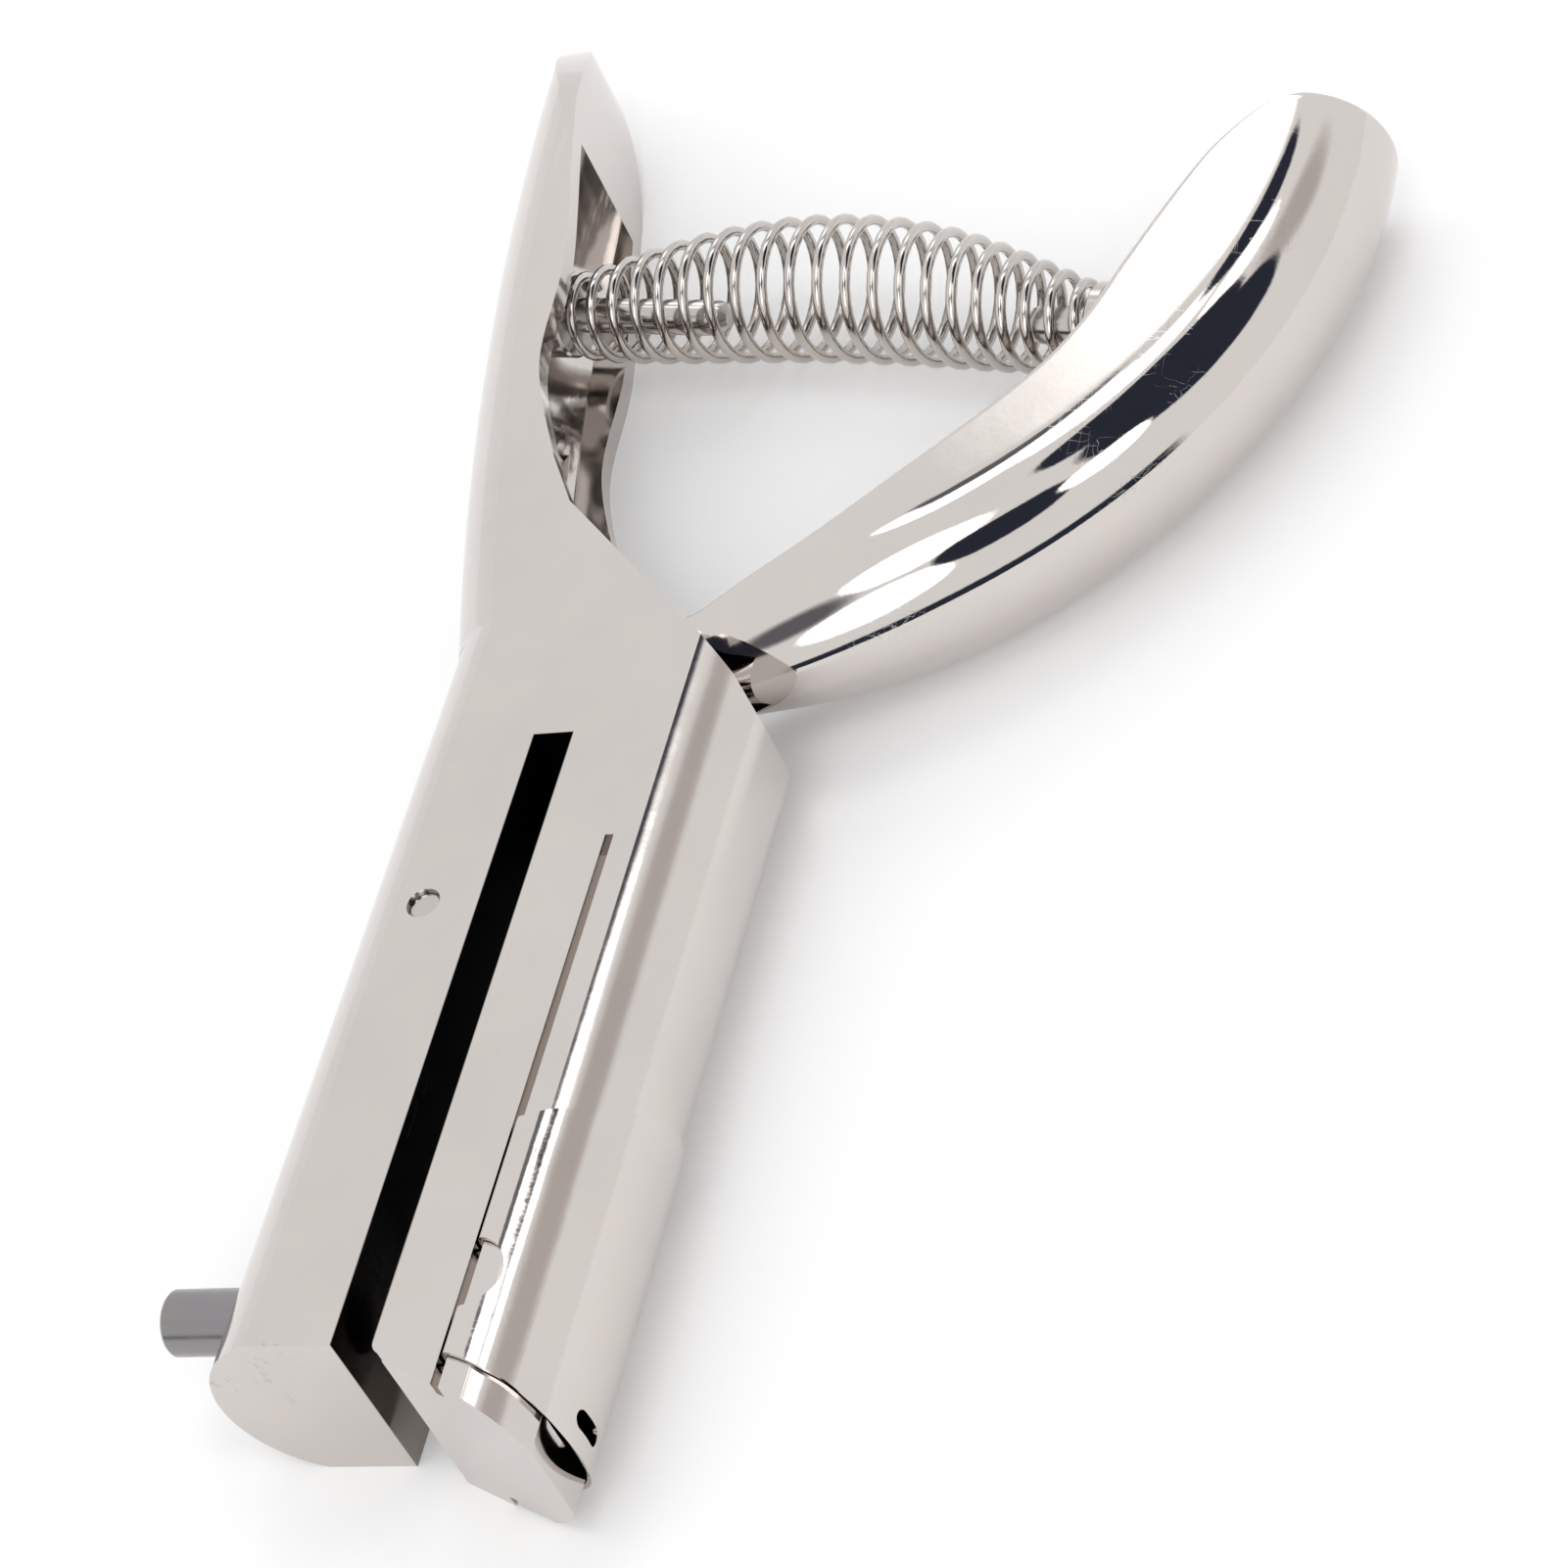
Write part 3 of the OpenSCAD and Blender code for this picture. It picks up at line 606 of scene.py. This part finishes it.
def neck_and_arm():
    """What the shell is held by: the neck between the body's walls, the hub and the forked drive arm."""
    neck_half, arm_half, end = 5, 4.9, THROAT_Y
    neck = slab("neck", [(PIVOT_X - 3.7, PIVOT_Y), (PIVOT_X - 3, PIVOT_Y + 11), (PIVOT_X + 1.5, end + 8),
                         (PIVOT_X + 5, end + 13), (LEVER_X + 2, end + 15), (LEVER_X + 8, end + 16.8),
                         (LEVER_X + 11, end + 18), (LEVER_X + 12, LEVER_Y - LEVER_R + 5.2),
                         (LEVER_X + 4, end + 13.6), (GAP - 2.5, end + 8), (-1.9, end + 4.5),
                         (PIVOT_X + 3.9, PIVOT_Y + 2), (PIVOT_X + 3.7, PIVOT_Y)], -neck_half, neck_half)
    cut(neck, rod("hub", (PIVOT_X, PIVOT_Y, -6.6), (0, 0, 1), 13.2, 4.2), how="UNION")
    lean = math.radians(6.356)
    arm_len = (PIVOT_Y - PUNCH_Y) / math.cos(lean)

    def arm_slab(name, outline, half):
        """An outline drawn along the arm: x across it, y from the punch's axis toward the hub."""
        turned_outline = [(PIVOT_X + x * math.cos(lean) + (y - arm_len) * math.sin(lean),
                           PIVOT_Y - x * math.sin(lean) + (y - arm_len) * math.cos(lean))
                          for x, y in outline]
        return slab(name, turned_outline, -half, half)

    arm = arm_slab("arm", [(-3, arm_len), (-2.1, 9), (-2.1, -3), (2.1, -3), (2.1, 9), (3, arm_len)],
                   arm_half)
    cut(neck, arm, how="UNION")
    gap = arm_slab("fork gap", [(-10, -10), (10, -10), (10, 4.8), (-10, 4.8)], 3.455)
    slot_half = 1.35
    pin_slot = arm_slab("pin slot", [(-slot_half, -10), (slot_half, -10), (slot_half, 1.6), (0, 2.9),
                                     (-slot_half, 1.6)], 9)
    cut(neck, gap, pin_slot, rod("bore", (PIVOT_X, PIVOT_Y, -PAST), (0, 0, 1), 2 * PAST, 1.775, 64))
    return break_edges(neck, 0.25, 30, 2)


def make_lever():
    shell = lever_shell()
    rounding = shell.modifiers.new("rim", "BEVEL")
    rounding.width, rounding.segments, rounding.limit_method = 0.4, 4, "ANGLE"
    rounding.angle_limit, rounding.use_clamp_overlap = math.radians(50), False
    pick(shell)
    bpy.ops.object.modifier_apply(modifier=rounding.name)
    smoothed(shell, 50)
    neck = neck_and_arm()
    pick(shell, neck)
    bpy.ops.object.join()
    return shell


settle(make_lever(), "lever_casting", "lever_body", polished, ("lever",))


# ---- the return spring: barrel-shaped, closed at both ends, slightly bowed ----


def make_spring():
    turns, steps, seat_gap = 20.5, 30, 0.08
    swell, bowed = 6.6, 4.6           # how much wider the middle is, and how far it bows aside
    closed = 0.055 / math.pi          # how much closer together the end turns lie
    count = int(turns * steps)
    way = axis_way()
    side = Vector((-way.y, way.x, 0))
    up = Vector((0, 0, 1))
    coil = bpy.data.curves.new("spring", "CURVE")
    coil.dimensions, coil.use_fill_caps = "3D", True
    coil.bevel_depth, coil.bevel_resolution = WIRE_D / 2, 4
    run = coil.splines.new("POLY")
    run.points.add(count)
    for i in range(count + 1):
        t = i / count
        r = (SPRING_END_D + swell * math.sin(math.pi * t) ** 0.9 - WIRE_D) / 2
        z = WIRE_D / 2 + seat_gap
        z += (SPRING_LEN - WIRE_D - 2 * seat_gap) * (t - closed * math.sin(math.tau * t))
        a = math.tau * turns * t
        bow = bowed * math.sin(math.pi * t) ** 1.4
        p = on_spring_axis(z) + side * (r * math.cos(a) + bow) + up * r * math.sin(a)
        run.points[i].co = (*p, 1)
    piece = bpy.data.objects.new("spring", coil)
    scene.collection.objects.link(piece)
    pick(piece)
    bpy.ops.object.convert(target="MESH")
    return smoothed(bpy.context.object, 50)


spring = settle(make_spring(), "return_spring", None, wire_metal, ("handle_spring",))
spring_foot = (on_spring_axis(0) + PLACE) * MM
spring_head = (on_spring_axis(SPRING_LEN) + PLACE) * MM
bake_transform(spring)


# ---- turned pieces ----

post = turned("post", [(-8.4, 0), (-8.4, 1.9), (-4.6, 1.9), (-4.6, 4.35), (-4.35, 4.6), (-0.25, 4.6),
                       (0, 4.35), (0, 1.9), (17.6, 1.9), (18.5, 1.6), (19, 0.9), (19, 0)],
              on_spring_axis(0), axis_way())
settle(post, "spring_guide_post", "frame_body", pin_steel, ("guide_post",))

stud = turned("stud", [(-8, 0), (-8, 1.2), (-7.4, 1.8), (-6.6, 2), (0, 2), (0, 4.3), (0.25, 4.55),
                       (1.35, 4.55), (1.6, 4.3), (1.6, 3), (20, 3), (20, 2), (23.4, 2), (23.4, 0)],
              on_spring_axis(SPRING_LEN), axis_way())
settle(stud, "spring_seat_stud", "lever_body", pin_steel, ("spring_stud",))

pin_len, pin_edge = 18.5, PIVOT_R - 0.25
pin = turned("pin", [(0, 0), (0, pin_edge), (0.2, PIVOT_R), (pin_len - 0.2, PIVOT_R), (pin_len, pin_edge),
                     (pin_len, 0)], (PIVOT_X, PIVOT_Y, -pin_len / 2), (0, 0, 1), 64)
settle(pin, "lever_pivot_pin", "frame_body", pin_steel, ("pivot_pin",))

stem_x = -PUNCH_JAW - 8.1
stem_len = -0.3 - stem_x
punch = turned("punch stem", [(0, 0), (0, 2.75), (0.12, 2.95), (0.4, PUNCH_R), (stem_len - 0.1, PUNCH_R),
                              (stem_len, 3.1), (stem_len, 0)], (stem_x, PUNCH_Y, 0), (1, 0, 0), 128)
settle(punch, "punch_stem", "punch_body", ground, ("punch",))

for node, finish in (("die_bush", ground), ("drive_pin", pin_steel)):
    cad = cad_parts[node]
    cad.data.materials.clear()
    cad.data.materials.append(finish)


# ---- the chip catcher: a sheet sleeve with a thumb notch and a small slot ----


def sleeve_section(more, r, start, bend):
    """Flat back, round side, flat front that runs softly into it, and a small bend into each groove."""
    low, high, soft = RELIEF + SHEET_GAP + more, HALF + SHEET_GAP + more, 5.4 + more
    cx = math.sqrt((r - soft) ** 2 - (high - soft) ** 2)
    a0, a1 = -math.degrees(math.asin(low / r)), math.degrees(math.atan2(high - soft, cx))
    return [*arc(start + bend, -low + bend, bend, 180, 270, 12), *arc(RIGHT_C, 0, r, a0, a1, 110),
            *arc(RIGHT_C + cx, high - soft, soft, a1, 90, 24)[1:],
            *arc(start + bend, high - bend, bend, 90, 180, 12)]


def make_catcher():
    lip_x = GROOVE_X + (GROOVE_W - SHEET) / 2
    r_in, low_y, far_right, left = SIDE_R + SHEET_GAP, -1.3, 24, lip_x - 2
    outer = sleeve_section(SHEET, r_in + SHEET, lip_x, 0.9)
    hollow = sleeve_section(0, r_in, lip_x + SHEET, 0.45)
    piece = plate("sleeve", [(x, -8, z) for x, z in outer], (0, 42, 0))
    cut(piece, plate("hollow", [(x, -12, z) for x, z in hollow], (0, 60, 0)),
        block("opening", (lip_x - 1, -14, -8.5), (lip_x + SHEET + 0.3, 50, 8.5)))
    # both ends lift or fall away toward the nose
    rise = [(left, 0), (lip_x + 0.6, 0.05), (15.7, 1.0), (18.5, 1.95), (21, 3.6), (22.5, 5.6),
            (far_right, 5.9)]
    fall = [(left, 0), (lip_x + 0.6, 0.1), (15.9, 1.4), (18.2, 2.1), (20.9, 3.5), (22.4, 4.35),
            (far_right, 4.6)]
    upper = smooth_run([(x, SLEEVE_TOP + y) for x, y in rise], 10)
    lower = smooth_run([(x, low_y - y) for x, y in fall], 10)
    cut(piece, slab("above", upper + [(far_right, 60), (left, 60)], -PAST, PAST),
        slab("below", lower + [(far_right, -40), (left, -40)], -PAST, PAST),
        rod("notch", (lip_x, low_y + 8.6, 0), (0, 0, 1), 14, 3.75))
    slot_r, slot_half = 0.95, 1.25
    slot = arc(slot_half, 0, slot_r, -90, 90, 20) + arc(-slot_half, 0, slot_r, 90, 270, 20)
    cut(piece, plate("slot", [(NOSE - 3, low_y - 1.3 + y, z) for z, y in slot], (6, 0, 0)))
    return break_edges(piece, 0.09, 30, 2, 40)


settle(make_catcher(), "chip_catcher_sleeve", "catcher_body", sheet, ("chip_catcher",))


# ---- floor, light and camera ----

none_picked()
bpy.ops.mesh.primitive_grid_add(x_subdivisions=8, y_subdivisions=8, size=6, location=(0, 0, 0))
floor = bpy.context.object
floor.name = "floor"
floor.data.transform(floor.matrix_world)
floor.matrix_world = Matrix.Identity(4)
paper = bpy.data.materials.new("white_paper")
paper_skin = Bench(paper).tree.nodes["Principled BSDF"].inputs
paper_skin["Base Color"].default_value = (0.93, 0.93, 0.93, 1)
paper_skin["Roughness"].default_value = 0.95
paper_skin["Specular IOR Level"].default_value = 0.0
paper_skin["Emission Color"].default_value = (1, 1, 1, 1)
paper_skin["Emission Strength"].default_value = 0.10
floor.data.materials.append(paper)

sky = bpy.data.worlds.new("light tent")
scene.world = sky
b = Bench(sky)
way = b.node("ShaderNodeTexCoord", None, None, out=0)


def lobe(direction, inner, outer):
    """1 within inner degrees of a direction, 0 beyond outer."""
    d = Vector(direction).normalized()
    toward = b.node("ShaderNodeVectorMath", {"operation": "DOT_PRODUCT"}, {0: way, 1: tuple(d)}, out=1)
    return b.step(toward, math.cos(math.radians(outer)), math.cos(math.radians(inner)))


WHITE, BROWN, GREY, NAVY = (2.6, 2.6, 2.6), (0.62, 0.58, 0.56), (0.16, 0.16, 0.18), (0.03, 0.035, 0.055)
tent = (1.0, 1.0, 1.0)
# lamps and dark cards round the tool: direction, degrees to the soft edge's start and end, colour
for direction, inner, outer, colour in (
        ((0.52, 0.54, 0.66), 5, 14, BROWN),
        ((-0.22, 0.76, 0.61), 6, 12, WHITE),
        ((-0.05, 0.46, 0.886), 6.5, 8, WHITE),
        ((0.21, 0.505, 0.837), 5, 6.5, WHITE),
        ((-0.24, 0.44, 0.866), 7, 8.5, WHITE),
        ((0.08, -0.35, 0.93), 12, 14, WHITE),
        ((0.16, -0.78, 0.60), 14, 16, WHITE),
        ((0.03, 0.615, 0.787), 5.5, 7.5, NAVY),
        ((-0.29, 0.545, 0.79), 2.5, 5, GREY),
        ((0.60, 0.12, 0.79), 17, 19, NAVY),
        ((0.31, 0.22, 0.92), 12.5, 14, NAVY),
        ((0.44, -0.46, 0.77), 11, 13, NAVY),
        ((-0.20, -0.60, 0.77), 6, 13, GREY),
        ((0.64, -0.25, 0.73), 7, 8.5, WHITE)):
    tent = b.mix(lobe(direction, inner, outer), tent, colour)
# a dark band at the horizon, on the camera's side
sky_y, sky_z = b.axes(way)[1:]
skirt = b.step(sky_y, -0.25, -0.35) * b.step(abs(sky_z - 0.05), 0.10, 0.06)
tent = b.mix(skirt, tent, NAVY)
background = b.tree.nodes["Background"]
b.tree.links.new(tent.socket, background.inputs["Color"])
background.inputs["Strength"].default_value = 1.0

eye = bpy.data.cameras.new("camera")
eye.lens, eye.sensor_width = 123.7, 36
camera = bpy.data.objects.new("camera", eye)
scene.collection.objects.link(camera)
# the camera looks along deep, with right to its right
right = Vector((0.907, 0.226, -0.354)).normalized()
deep = Vector((-0.416, 0.602, -0.681)).normalized()
camera_z = -deep
camera_y = camera_z.cross(right).normalized()
camera_x = camera_y.cross(camera_z)
tripod = Matrix((camera_x, camera_y, camera_z)).transposed().to_4x4()
tripod.translation = (0.23714, -0.3210, 0.36395)
camera.matrix_world = tripod
scene.camera = camera
scene.view_settings.view_transform = "Standard"
